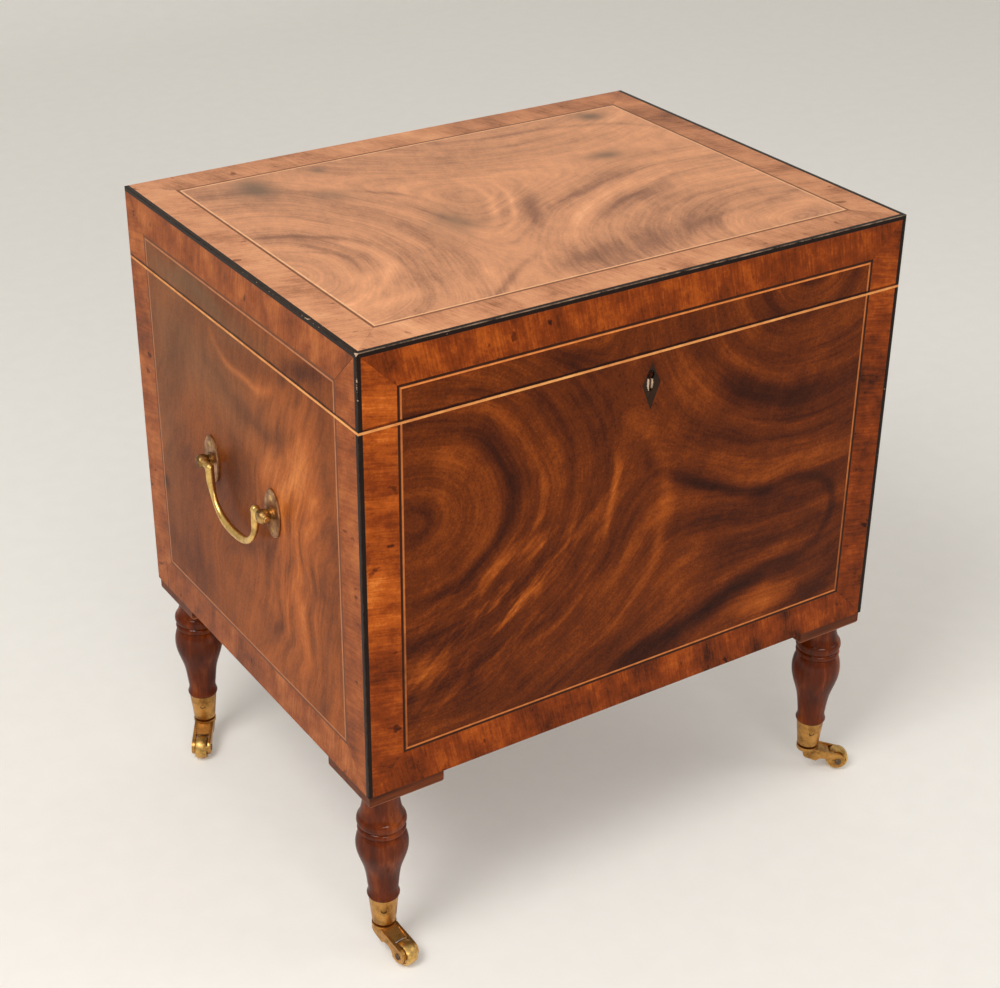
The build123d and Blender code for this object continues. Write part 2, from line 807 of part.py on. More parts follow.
def turned_leg(neck_length, bulb_level):
    """A leg with its wooden end at the origin: dowel, neck, ring, bead, bulb, ankle, foot, tenon."""
    top = leg_length
    ring_top = top - neck_length
    ring_low = ring_top - ring_height
    bead_low = ring_low - bead_height
    tenon_top_radius = cup_top_radius - cup_wall - cup_clearance
    tenon_end_radius = tenon_top_radius - tenon_taper
    ring_top_radius = neck_radius + neck_flare
    start = Polyline(
        (0, top + block_thickness),
        (dowel_radius, top + block_thickness),
        (dowel_radius, top),
        (neck_radius + neck_shoulder, top),
    )
    neck = ThreePointArc(
        (neck_radius + neck_shoulder, top), (neck_radius, top - neck_waist_drop), (ring_top_radius, ring_top)
    )
    ring = ThreePointArc(
        (ring_top_radius, ring_top), (ring_radius, ring_top - ring_height / 2), (groove_radius, ring_low)
    )
    bead = ThreePointArc(
        (groove_radius, ring_low), (bead_radius, ring_low - bead_height / 2), (groove_radius, bead_low)
    )
    bulb = Spline(
        (groove_radius, bead_low),
        (bulb_radius, bulb_level),
        (taper_radius, bulb_level - taper_drop),
        (ankle_radius, bulb_level - ankle_drop),
        (foot_radius - foot_step, foot_height),
        tangents=[bulb_start_slope, foot_start_slope],
    )
    foot = ThreePointArc(
        (foot_radius - foot_step, foot_height), (foot_radius, foot_height / 2), (foot_end_radius, 0)
    )
    tenon = Polyline(
        (foot_end_radius, 0),
        (tenon_top_radius, 0),
        (tenon_end_radius, -tenon_length),
        (0, -tenon_length),
        (0, top + block_thickness),
    )
    face = make_face([*start.edges(), neck, ring, bead, bulb, foot, *tenon.edges()])
    return revolve(Plane.XZ * face, Axis.Z)


def castor_cup():
    """A cup with its mouth at the origin, tapering to a rounded base bored for the swivel."""
    mouth = cup_top_radius - cup_wall
    socket_end = mouth - tenon_taper
    outline = [
        (mouth, 0),
        (cup_top_radius, 0),
        (cup_bottom_radius, -cup_height),
        (swivel_radius + running_clearance, -cup_height),
        (swivel_radius + running_clearance, -cup_height + cup_base),
        (socket_end, -cup_height + cup_base),
        (socket_end, -tenon_length),
    ]
    shape = revolve(Plane.XZ * make_face(Polyline(*outline, close=True)), Axis.Z)
    outer_rim = shape.edges().filter_by(GeomType.CIRCLE).group_by(Axis.Z)[0].sort_by(SortBy.RADIUS)[-1]
    return fillet(outer_rim, cup_round)


def castor_horn():
    """A fork with its swivel pin: the hub's top is at the origin and the wheel trails along +X."""
    neck_half = cheek_neck_height / 2
    round_x = castor_trail - cheek_setback
    round_z = -axle_drop + cheek_rise
    outline = make_hull(
        [
            *(Pos(round_x, round_z) * Circle(cheek_round)).edges(),
            *(Pos(0, -neck_half) * Circle(neck_half)).edges(),
        ]
    )
    outline = outline - Pos(arch_reach, -arch_drop) * Circle(arch_radius)
    gap_half = wheel_width / 2 + wheel_side_gap
    fork_half = gap_half + cheek_thickness
    beyond = castor_trail * 2
    cheeks = extrude(Plane.XZ * outline, amount=fork_half, both=True)
    for outer_edges in (cheeks.edges().group_by(Axis.Y)[0], cheeks.edges().group_by(Axis.Y)[-1]):
        cheeks = fillet(outer_edges, cheek_edge_round)
    hub = Pos(0, 0, -hub_height / 2) * Cylinder(hub_radius, hub_height)
    hub = fillet(hub.edges().group_by(Axis.Z)[0], hub_round)
    between = block(-beyond, beyond, -gap_half, gap_half, -beyond, 1)
    web_outline = [
        (0, -web_start_drop),
        (web_start, -web_start_drop),
        (web_end, -web_end_drop),
        (web_lip, -web_lip_drop),
        (web_start, -hub_height),
        (0, -hub_height),
    ]
    web_face = Plane.XZ * make_face(Polyline(*web_outline, close=True))
    web = extrude(web_face, amount=gap_half, both=True)
    fork = cheeks - between + hub + web
    hole_half = fork_half + 1
    axle_hole = rod(
        (castor_trail, -hole_half, -axle_drop),
        (castor_trail, hole_half, -axle_drop),
        axle_radius + axle_clearance,
    )
    fork = fork - axle_hole
    pin_top = cup_base + 2 * swivel_gap
    pin = Pos(0, 0, pin_top / 2) * Cylinder(swivel_radius, pin_top)
    head = Pos(0, 0, pin_top + rivet_height / 2) * Cylinder(rivet_radius, rivet_height)
    return fork + pin + head


def castor_wheel():
    """A brass wheel about the Y axis, crowned on its tread and dished on its sides."""
    half = wheel_width / 2
    bore = axle_radius + running_clearance
    rim_side = half - wheel_edge_step
    dish = half - wheel_dish
    boss_radius = bore + wheel_boss_wall
    rim_inside = wheel_radius - wheel_rim_wall
    outline = [
        (bore, -half),
        (boss_radius, -half),
        (boss_radius + wheel_dish_slope, -dish),
        (rim_inside - wheel_dish_slope, -dish),
        (rim_inside, -rim_side),
        (wheel_radius - wheel_crown, -rim_side),
    ]
    side = Polyline(*outline)
    tread = ThreePointArc(
        (wheel_radius - wheel_crown, -rim_side), (wheel_radius, 0), (wheel_radius - wheel_crown, rim_side)
    )
    other = Polyline(*[(r, -w) for r, w in reversed(outline)])
    inner = Line((bore, half), (bore, -half))
    face = make_face([*side.edges(), tread, *other.edges(), inner])
    turned = revolve(Plane.XZ * face, Axis.Z)
    return Rot(90, 0, 0) * turned


def castor_axle():
    """A riveted axle through both cheeks, about the Y axis."""
    half = wheel_width / 2 + wheel_side_gap + cheek_thickness
    axle = rod((0, -half, 0), (0, half, 0), axle_radius)
    for side in (-1, 1):
        head = rod((0, side * half, 0), (0, side * (half + axle_head_height), 0), axle_head_radius)
        axle = axle + head
    return axle


cup = castor_cup()
horn = castor_horn()
wheel = castor_wheel()
axle = castor_axle()
cup_screws = []
for name, (x_sign, y_sign) in corners.items():
    stand = Pos(x_sign * leg_x, y_sign * leg_y, cup_top_z)
    screw_places = []
    for angle in cup_screw_angles:
        surface = cup_top_radius - (cup_top_radius - cup_bottom_radius) * cup_screw_level
        place = Rot(0, 0, angle) * Pos(surface - cup_screw_sink, 0, -cup_height * cup_screw_level)
        place = place * Rot(0, 90, 0)
        screw_places.append(place)
    holes = screw_holes(screw_places, cup_screw_length)
    cup_screws += [stand * place * screw(cup_screw_length) for place in screw_places]
    save(f"{name}_leg", stand * cut(turned_leg(*leg_patterns[name]), *holes))
    save(f"{name}_castor_cup", stand * cut(cup, *holes))
    swivel = Pos(x_sign * leg_x, y_sign * leg_y, cup_bottom_z - swivel_gap) * Rot(0, 0, castor_angles[name])
    save(f"{name}_castor_horn", swivel * horn)
    hub = swivel * Pos(castor_trail, 0, -axle_drop)
    save(f"{name}_castor_wheel", hub * wheel)
    save(f"{name}_castor_axle", hub * axle)
save("cup_screws", *cup_screws)

# Brass screws of the hinges, the lock and the handle plates
case_screw_places = lower_screw_places + lock_screw_places + plate_screw_places
lid_screw_places = upper_screw_places + link_screw_places
save("case_screws", *[place * screw(screw_length) for place in case_screw_places])
save("lid_screws", *[place * screw(screw_length) for place in lid_screw_places])
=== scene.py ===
import math

import bmesh
import bpy
from mathutils import Euler, Matrix, Vector

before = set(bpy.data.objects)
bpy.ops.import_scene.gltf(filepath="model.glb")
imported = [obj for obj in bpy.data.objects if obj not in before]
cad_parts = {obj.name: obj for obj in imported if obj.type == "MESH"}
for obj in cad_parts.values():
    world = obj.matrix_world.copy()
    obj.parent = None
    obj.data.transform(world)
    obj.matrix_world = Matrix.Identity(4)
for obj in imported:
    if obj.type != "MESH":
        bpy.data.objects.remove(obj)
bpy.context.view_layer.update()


# Carcass boards: front, back, sides and bottom of plain mahogany, dovetailed and glued at the
# corners. Where no veneer hides them they are bare wood, scraped smooth and grown brown with age.
# The grain runs the length of each board, with open pores and faint year rings.
class Tone:
    """One socket in a finish's node tree. Sums on it add Math nodes; node() adds any other node."""

    def __init__(self, socket):
        self.socket = socket

    def node(self, kind, settings, inputs):
        """Adds a node, sets it, fills its sockets, and returns a Tone for each of its outputs."""
        tree = self.socket.id_data
        made = tree.nodes.new("ShaderNode" + kind)
        for name, value in settings.items():
            if name == "stops":
                ramp = made.color_ramp
                for level, _ in value[1:-1]:
                    ramp.elements.new(level)
                for stop, (level, colour) in zip(ramp.elements, value):
                    stop.position = level
                    stop.color = colour
            else:
                setattr(made, name, value)
        for name, value in inputs.items():
            if isinstance(value, Tone):
                tree.links.new(value.socket, made.inputs[name])
            else:
                made.inputs[name].default_value = value
        return [Tone(output) for output in made.outputs]

    def sum(self, operation, *values):
        return self.node("Math", {"operation": operation}, dict(enumerate(values)))[0]

    def __add__(self, other):
        return self.sum("ADD", self, other)

    def __sub__(self, other):
        return self.sum("SUBTRACT", self, other)

    def __rsub__(self, other):
        return self.sum("SUBTRACT", other, self)

    def __mul__(self, other):
        return self.sum("MULTIPLY", self, other)

    def __lt__(self, other):
        return self.sum("LESS_THAN", self, other)

    def __gt__(self, other):
        return self.sum("GREATER_THAN", self, other)

    def __abs__(self):
        return self.sum("ABSOLUTE", self)

    __radd__ = __add__
    __rmul__ = __mul__

    def source(self, kind):
        """Adds a node that needs no inputs, and returns its outputs by name."""
        return {tone.socket.name: tone for tone in self.node(kind, {}, {})}

    def least(self, other):
        return self.sum("MINIMUM", self, other)

    def most(self, other):
        return self.sum("MAXIMUM", self, other)

    def grown(self):
        """e raised to the tone."""
        return self.sum("EXPONENT", self)

    def root(self):
        return self.sum("SQRT", self)

    def held(self):
        """The tone kept between 0 and 1."""
        return self.most(0.0).least(1.0)

    def step(self, start, end):
        """0 before start, 1 after end, and a smooth climb between them."""
        return self.node(
            "MapRange",
            {"interpolation_type": "SMOOTHSTEP"},
            {"Value": self, "From Min": start, "From Max": end},
        )[0]

    def ramp(self, *stops):
        """The tone as a colour: stops are (level, colour)."""
        return self.node("ValToRGB", {"stops": stops}, {"Fac": self})[0]

    def between(self, low, high):
        """A colour from low to high as the tone goes from 0 to 1."""
        return self.node("Mix", {"data_type": "RGBA"}, {0: self, 6: low, 7: high})[2]


def dye(red, green, blue):
    """A colour from its screen values, 0 to 255."""
    levels = [level / 255 for level in (red, green, blue)]
    return (*[v / 12.92 if v <= 0.04045 else ((v + 0.055) / 1.055) ** 2.4 for v in levels], 1.0)


def point(x, y, z):
    return x.node("CombineXYZ", {}, {"X": x, "Y": y, "Z": z})[0]


def mottle(place, scale, detail, roughness=0.5):
    """Cloudy noise about 0.5 over a place."""
    wanted = {"Vector": place, "Scale": scale, "Detail": detail, "Roughness": roughness}
    return place.node("TexNoise", {}, wanted)[0]


def new_finish(name, **fixed):
    """A finish: its material, its shader, and where a point is as x, y and z in metres."""
    material = bpy.data.materials.new(name)
    material.use_nodes = True
    shader = material.node_tree.nodes["Principled BSDF"]
    for socket, value in fixed.items():
        shader.inputs[socket.replace("_", " ")].default_value = value
    place = Tone(shader.outputs[0]).source("TexCoord")["Object"]
    return material, shader, *place.node("SeparateXYZ", {}, {"Vector": place})


def join(shader, **tones):
    """Joins each tone to the shader's socket of that name."""
    for socket, tone in tones.items():
        shader.id_data.links.new(tone.socket, shader.inputs[socket.replace("_", " ")])


def dress(shader, base, roughness, height, depth):
    """Joins colour, roughness and a relief of that depth in metres to the shader."""
    relief = {"Height": height, "Distance": depth, "Strength": 1.0}
    normal = height.node("Bump", {}, relief)[0]
    join(shader, Base_Color=base, Roughness=roughness, Normal=normal)


def lay_on(material, *names):
    for name in names:
        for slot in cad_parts[name].material_slots:
            slot.material = material


def sawn_board(name, along_y, dark, pale):
    """Bare board with its grain along X, or along Y with along_y."""
    material, shader, x, y, z = new_finish(name, Coat_Weight=0.08, Coat_Roughness=0.35)
    if along_y:
        x, y = y, x
    rings = mottle(point(x * 1.2, y * 30.0, z * 30.0), 1.0, 3.0)
    streak = mottle(point(x * 9.0, y * 190.0, z * 190.0), 1.0, 4.0, 0.6)
    pores = mottle(point(x * 90.0, y * 1600.0, z * 1600.0), 1.0, 1.0).step(0.62, 0.74)
    cloud = mottle(point(x, y, z), 7.0, 2.0)
    tone = 0.5 + (rings - 0.5) * 1.1 + (streak - 0.5) * 0.8 + (cloud - 0.5) * 0.5 - pores * 0.28
    base = tone.held().between(dark, pale)
    dress(shader, base, 0.42 + streak * 0.2, streak - pores, 0.00012)
    return material


aged, scraped = dye(58, 26, 13), dye(142, 82, 46)
board_along_x = sawn_board("board_along_x", False, aged, scraped)
board_along_y = sawn_board("board_along_y", True, aged, scraped)
lay_on(board_along_x, "front_board", "back_board", "bottom_board")
lay_on(board_along_y, "left_side_board", "right_side_board")


# Front veneer: one sheet of swirled flame mahogany, glued over carcass and lid and cut at the rim,
# french polished and worn to a soft gloss. Nests of arcs at the left, S-shaped streaks in the
# middle and hanging bowls at the right, set out in millimetres from the lower left corner.
half_width = 0.240
carcass_foot = 0.167
lid_foot = 0.4672
mm = 1000.0


def offset(x, z, eye):
    """Squared distance from an eye (x, z, width, height, turn in degrees), in eye sizes."""
    cx, cz, width, height, turn = eye
    c, s = math.cos(math.radians(turn)), math.sin(math.radians(turn))
    dx, dz = x - cx, z - cz
    along = dx * (c / width) + dz * (s / width)
    above = dz * (c / height) - dx * (s / height)
    return along * along + above * above


def patch(x, z, strength, *eye):
    """A soft patch of lighter or darker wood."""
    return (offset(x, z, eye) * -1.0).grown() * strength


def arc(x, z, strength, width, eye, within):
    """A line along an eye's outline, as wide as that share of it, fading beyond another eye."""
    gap = (offset(x, z, eye).root() - 1.0) * (1.0 / width)
    return (gap * gap * -1.0 - offset(x, z, within)).grown() * strength


def drawn(tone, x, z, arcs, patches):
    """The tone with arcs (strength, width, eye, within) and patches (strength, *eye) added."""
    for line in arcs:
        tone = tone + arc(x, z, *line)
    for dab in patches:
        tone = tone + patch(x, z, *dab)
    return tone


def flow(x, z, blend, eyes):
    """Distance from the nearest eye, run smoothly into the next: grain follows its level lines."""
    near = 0.0
    for eye in eyes:
        near = near + (offset(x, z, eye).root() * (-1.0 / blend)).grown()
    return near.sum("LOGARITHM", near, math.e) * -blend


def drift(x, z, amount, scale, seed):
    """x and z, pushed about by slow noise."""
    place = point(x, z, seed)
    push = place.node("TexNoise", {}, {"Vector": place, "Scale": scale, "Detail": 2.0})[1]
    sides = push.node("SeparateColor", {}, {"Color": push})
    return x + (sides[0] - 0.5) * amount, z + (sides[1] - 0.5) * amount


def fine_grain(x, z, lines, seed):
    """Fine grain about 0.5, and pores, from 0 to 1, that follow the flow lines."""
    fine = mottle(point(lines * 0.42 + seed, x * 0.02, z * 0.02), 1.0, 4.0, 0.6)
    pores = mottle(point(lines * 1.9, x * 0.13, z * 0.13), 1.0, 1.0).step(0.6, 0.75)
    return fine, pores


def broad_figure(x, z, lines, seed):
    """Broad figure about 0.5 that follows the flow lines."""
    return mottle(point(lines * 0.05 + seed, x * 0.006, z * 0.006), 1.0, 4.0, 0.55)


def grime_and_gap_shade(x, z):
    """Dirt and painted gap shade where the lid's lower edge meets the carcass, 0 to 1, uneven."""
    patchy = mottle(point(x, 0.0, 1.0), 45.0, 4.0, 0.6)
    above = (z - lid_foot) * mm - (patchy - 0.5) * 3.0
    return (z > lid_foot) * (1.0 - above.step(1.2, 2.4))


material, shader, x, y, z = new_finish("flame_front", Specular_IOR_Level=0.08)
grit = mottle(point(x, y, z), 620.0, 4.0, 0.7)
fx, fz = (x + half_width) * mm, (z - carcass_foot) * mm
wx, wz = drift(fx, fz, 26.0, 0.009, 0.3)
lines = flow(wx, wz, 30.0, [(38.0, 220.0, 1.1, 0.92, 0.0), (392.0, 340.0, 1.05, 1.0, 0.0)])
broad = broad_figure(fx, fz, lines, 2.0)
fine, pores = fine_grain(fx, fz, lines, 2.0)
eye = patch(wx, wz, 1.0, 38.0, 220.0, 46.0, 40.0, 0.0)
cloud = mottle(point(fx * 0.03 - fz * 0.018, fx * 0.012 + fz * 0.02, 8.0), 1.0, 6.0, 0.7)
tone = 0.40 + (broad - 0.5) * 0.9 + (fine - 0.5) * 0.32 * (1.0 - eye * 0.7) + (cloud - 0.5) * 0.5
tone = drawn(
    tone + (grit - 0.5) * 0.5 - pores * 0.10,
    wx,
    wz,
    [
        (0.34, 0.020, (25.0, 205.0, 190.0, 158.0, 0.0), (214.0, 196.0, 30.0, 42.0, 0.0)),
        (0.16, 0.040, (25.0, 205.0, 190.0, 158.0, 0.0), (165.0, 85.0, 70.0, 40.0, 0.0)),
        (0.24, 0.035, (60.0, 170.0, 206.0, 140.0, 0.0), (255.0, 140.0, 50.0, 90.0, 0.0)),
        (0.18, 0.05, (20.0, 222.0, 128.0, 92.0, 0.0), (120.0, 235.0, 80.0, 90.0, 0.0)),
        (-0.16, 0.07, (20.0, 222.0, 100.0, 76.0, 0.0), (90.0, 235.0, 70.0, 80.0, 0.0)),
        (-0.26, 0.09, (392.0, 335.0, 120.0, 108.0, 0.0), (370.0, 236.0, 70.0, 40.0, 0.0)),
        (0.16, 0.05, (395.0, 335.0, 182.0, 170.0, 0.0), (350.0, 170.0, 110.0, 60.0, 0.0)),
        (-0.34, 0.025, (390.0, 345.0, 200.0, 194.0, 0.0), (330.0, 165.0, 95.0, 50.0, 0.0)),
        (-0.28, 0.10, (385.0, 116.0, 48.0, 38.0, 0.0), (420.0, 122.0, 26.0, 42.0, 0.0)),
    ],
    [
        (-0.30, 320.0, 66.0, 100.0, 8.0, 13.0),
        (-0.22, 255.0, 40.0, 60.0, 14.0, 20.0),
        (-0.26, 357.0, 151.0, 16.0, 5.0, -8.0),
        (-0.20, 414.0, 44.0, 22.0, 16.0, 0.0),
        (0.26, 372.0, 52.0, 34.0, 14.0, 0.0),
        (0.20, 276.0, 258.0, 28.0, 26.0, 30.0),
        (0.16, 276.0, 84.0, 26.0, 46.0, -20.0),
        (0.14, 200.0, 112.0, 22.0, 16.0, 30.0),
        (0.12, 120.0, 330.0, 90.0, 18.0, -6.0),
        (-0.18, 172.0, 316.0, 18.0, 10.0, -30.0),
        (-0.08, 110.0, 80.0, 110.0, 90.0, 0.0),
    ],
)
ripple = mottle(point(fx * 0.05 - fz * 0.055, fx * 0.012 + fz * 0.012, 3.0), 1.0, 3.0, 0.6)
blotch = patch(fx, fz, 1.0, 115.0, 128.0, 85.0, 42.0, 35.0)
# Darker along the lid's lower edge: dirt, and painted shade of the lid gap.
tone = tone + (ripple - 0.47).most(0.0) * blotch * 3.0 - grime_and_gap_shade(x, z) * 0.5
base = tone.held().ramp(
    (0.0, dye(40, 12, 2)),
    (0.25, dye(74, 28, 5)),
    (0.45, dye(106, 45, 8)),
    (0.7, dye(152, 72, 18)),
    (1.0, dye(204, 112, 42)),
)
dress(shader, base, 0.30 + fine * 0.12, fine - pores, 0.00005)
lay_on(material, "front_veneer", "lid_front_veneer")


# Side veneers: quieter mahogany, one sheet to each side, cut at the rim. Upright orange streaks
# towards the front, a pale crescent under the lid, and a grey haze at the back that is painted
# sheen.
# Set out in millimetres from the lower back corner.
half_depth = 0.1845
material, shader, x, y, z = new_finish("flame_sides", Specular_IOR_Level=0.06)
grit = mottle(point(x, y, z), 560.0, 4.0, 0.7)
sx, sz = (half_depth - y) * mm, (z - carcass_foot) * mm
wx, wz = drift(sx, sz, 60.0, 0.008, 4.0)
leaning = wx - wz * 0.25
fine, pores = fine_grain(sx, sz, leaning, 5.0)
sheet = (x > 0.0) * 5.0
cloud = mottle(point(leaning * 0.022, wz * 0.011, sheet + 3.0), 1.0, 5.0, 0.65)
streak = mottle(point(leaning * 0.06, wz * 0.012, sheet + 2.0), 1.0, 4.0, 0.65)
glow = patch(sx, sz, 1.0, 268.0, 170.0, 66.0, 170.0, 0.0)
tone = 0.44 + (cloud - 0.5) * 0.75 + (fine - 0.5) * 0.3 + (grit - 0.5) * 0.4 - pores * 0.08
tone = drawn(
    tone + (streak - 0.44) * glow * 1.6 + glow * 0.04,
    wx,
    wz,
    [
        (0.30, 0.08, (196.0, 330.0, 64.0, 54.0, 0.0), (190.0, 278.0, 46.0, 18.0, 0.0)),
        (-0.22, 0.10, (210.0, 345.0, 105.0, 100.0, 0.0), (220.0, 250.0, 70.0, 24.0, 0.0)),
    ],
    [
        (-0.34, 36.0, 107.0, 7.0, 6.0, 0.0),
        (-0.20, 60.0, 62.0, 36.0, 26.0, 0.0),
        (-0.22, 175.0, 176.0, 60.0, 30.0, 20.0),
        (0.26, 262.0, 218.0, 22.0, 40.0, -24.0),
        (0.20, 292.0, 232.0, 24.0, 50.0, -14.0),
        (0.26, 272.0, 75.0, 9.0, 56.0, -4.0),
        (-0.24, 318.0, 230.0, 12.0, 60.0, 8.0),
        (-0.18, 300.0, 55.0, 10.0, 40.0, 0.0),
        (-0.24, 285.0, 312.0, 60.0, 8.0, 14.0),
    ],
)
# Darker along the lid's lower edge: dirt, and painted shade of the lid gap.
tone = (tone - grime_and_gap_shade(y, z) * 0.5).held()
# Painted sheen: grey hazy patches towards the back.
painted_sheen_patches = [
    (0.6, 110.0, 262.0, 120.0, 46.0, -6.0),
    (0.8, 120.0, 316.0, 100.0, 14.0, 0.0),
    (0.4, 40.0, 170.0, 40.0, 90.0, 0.0),
]
haze = drawn(0.0, wx, wz, [], painted_sheen_patches)
wood = tone.ramp(
    (0.0, dye(58, 22, 4)),
    (0.25, dye(98, 44, 12)),
    (0.45, dye(134, 68, 24)),
    (0.7, dye(176, 92, 36)),
    (1.0, dye(216, 128, 62)),
)
grey = tone.between(dye(80, 50, 28), dye(158, 112, 76))
base = haze.held().between(wood, grey)
dress(shader, base, 0.30 + fine * 0.14, fine - pores, 0.00005)
lay_on(material, "side_veneers", "lid_side_veneers")


# Lid top veneer: one sheet of flame mahogany, pale pinkish tan, partly bleached and partly painted
# glare from the light above, with grey-brown swirls.
# A nest of rings near the left edge, an S through the middle, long leaning streaks at the right and
# old stains towards the back. Set out in millimetres from the front left corner.
material, shader, x, y, z = new_finish("flame_top", Specular_IOR_Level=0.14)
grit = mottle(point(x, y, z), 520.0, 4.0, 0.7)
tx, ty = (x + half_width) * mm, (y + half_depth) * mm
wx, wy = drift(tx, ty, 22.0, 0.009, 7.0)
eyes = [
    (28.0, 138.0, 0.8, 1.1, 0.0),
    (410.0, 40.0, 1.35, 0.95, 4.0),
    (330.0, 430.0, 1.2, 1.0, 0.0),
]
lines = flow(wx, wy, 30.0, eyes)
broad = broad_figure(tx, ty, lines, 9.0)
fine, pores = fine_grain(tx, ty, lines, 9.0)
mottled = mottle(point(tx * 0.085 - ty * 0.03, tx * 0.02 + ty * 0.04, 5.0), 1.0, 5.0, 0.7)
tone = 0.56 + (broad - 0.5) * 0.9 + (fine - 0.5) * 0.5 + (mottled - 0.5) * 0.5 + (grit - 0.5) * 0.35
tone = drawn(
    tone,
    wx,
    wy,
    [
        (0.24, 0.07, (30.0, 136.0, 66.0, 62.0, 0.0), (85.0, 120.0, 40.0, 50.0, 0.0)),
        (-0.20, 0.06, (30.0, 136.0, 46.0, 46.0, 0.0), (60.0, 150.0, 50.0, 60.0, 0.0)),
        (-0.26, 0.035, (14.0, 120.0, 96.0, 98.0, 0.0), (75.0, 195.0, 50.0, 34.0, 0.0)),
        (-0.16, 0.12, (40.0, 150.0, 100.0, 104.0, 0.0), (125.0, 130.0, 46.0, 70.0, 0.0)),
        (0.20, 0.05, (150.0, 222.0, 82.0, 96.0, 0.0), (225.0, 190.0, 40.0, 60.0, 0.0)),
        (0.26, 0.03, (150.0, 222.0, 101.0, 101.0, 0.0), (232.0, 170.0, 44.0, 60.0, 0.0)),
        (-0.34, 0.045, (118.0, 232.0, 150.0, 146.0, 0.0), (245.0, 150.0, 40.0, 52.0, 0.0)),
        (-0.28, 0.035, (96.0, 190.0, 94.0, 96.0, 0.0), (160.0, 225.0, 40.0, 50.0, 0.0)),
        (-0.26, 0.035, (400.0, 48.0, 200.0, 142.0, 0.0), (330.0, 190.0, 150.0, 40.0, 0.0)),
        (0.16, 0.06, (400.0, 52.0, 170.0, 118.0, 0.0), (330.0, 165.0, 140.0, 40.0, 0.0)),
        (0.18, 0.05, (400.0, 52.0, 130.0, 86.0, 0.0), (380.0, 135.0, 90.0, 30.0, 0.0)),
        (-0.16, 0.05, (400.0, 44.0, 130.0, 74.0, 0.0), (400.0, 112.0, 80.0, 20.0, 0.0)),
        (-0.20, 0.03, (330.0, 190.0, 145.0, 128.0, 0.0), (390.0, 300.0, 100.0, 60.0, 0.0)),
    ],
    [
        (-0.34, 335.0, 136.0, 48.0, 14.0, 12.0),
        (-0.30, 300.0, 62.0, 60.0, 20.0, 18.0),
        (-0.20, 395.0, 78.0, 60.0, 4.0, 7.0),
        (0.14, 400.0, 56.0, 70.0, 8.0, 7.0),
        (-0.24, 225.0, 60.0, 46.0, 14.0, 20.0),
        (0.14, 80.0, 108.0, 22.0, 9.0, 20.0),
        (0.16, 60.0, 65.0, 34.0, 7.0, 0.0),
        (-0.34, 150.0, 50.0, 46.0, 4.0, 36.0),
        (-0.16, 90.0, 369.0, 150.0, 70.0, 0.0),
        (0.12, 440.0, 200.0, 110.0, 170.0, 0.0),
    ],
)
spots = [
    (0.9, 82.0, 312.0, 17.0, 26.0, 0.0),
    (0.7, 148.0, 326.0, 7.0, 7.0, 0.0),
    (0.9, 412.0, 322.0, 13.0, 12.0, 0.0),
    (0.8, 365.0, 230.0, 17.0, 10.0, 0.0),
    (0.6, 180.0, 170.0, 16.0, 26.0, 0.0),
    (0.5, 130.0, 268.0, 18.0, 12.0, -20.0),
]
stains = drawn(0.0, wx, wy, [], spots)
# Pale pinkish tan: bleached wood, lightened further by painted glare from the light above.
wood = tone.held().ramp(
    (0.0, dye(112, 72, 50)),
    (0.3, dye(158, 106, 76)),
    (0.55, dye(200, 138, 98)),
    (0.8, dye(226, 156, 110)),
    (1.0, dye(244, 178, 130)),
)
base = stains.held().between(wood, dye(112, 88, 68))
dress(shader, base, 0.28 + fine * 0.12, fine - pores, 0.00005)
lay_on(material, "lid_top_veneer")


# Crossbanding: strips of straight-grained mahogany round every panel, glued down with the grain
# across the strip and mitred at the corners. Orange-brown with dark flecks. Painted light makes
# the front brightest high on its left, painted shade darkens its bottom band and right half, and
# the top bands are bleached pale with a painted glare that fades to the right and back.
lid_top = 0.5245
face_depth = 0.00155
no_edge = 9.0
notch_y, notch_top = 0.1640, 0.194


def faces(x, y, z, low, high):
    """Which face a point is on, where it is along it, and how far in from its end and its rim.

    low and high are the levels of the outer edges of the bands below and above the panel.
    """
    front = y < face_depth - half_depth
    top = z > lid_top - face_depth
    side = (1.0 - front - top).held()
    face_x = x * (1.0 - side) + y * side
    from_end = half_width - side * (half_width - half_depth) - abs(face_x)
    from_rim = (z - low).least(high - z) * (1.0 - top) + (half_depth - abs(y)) * top
    return front, top, side, face_x, from_end, from_rim


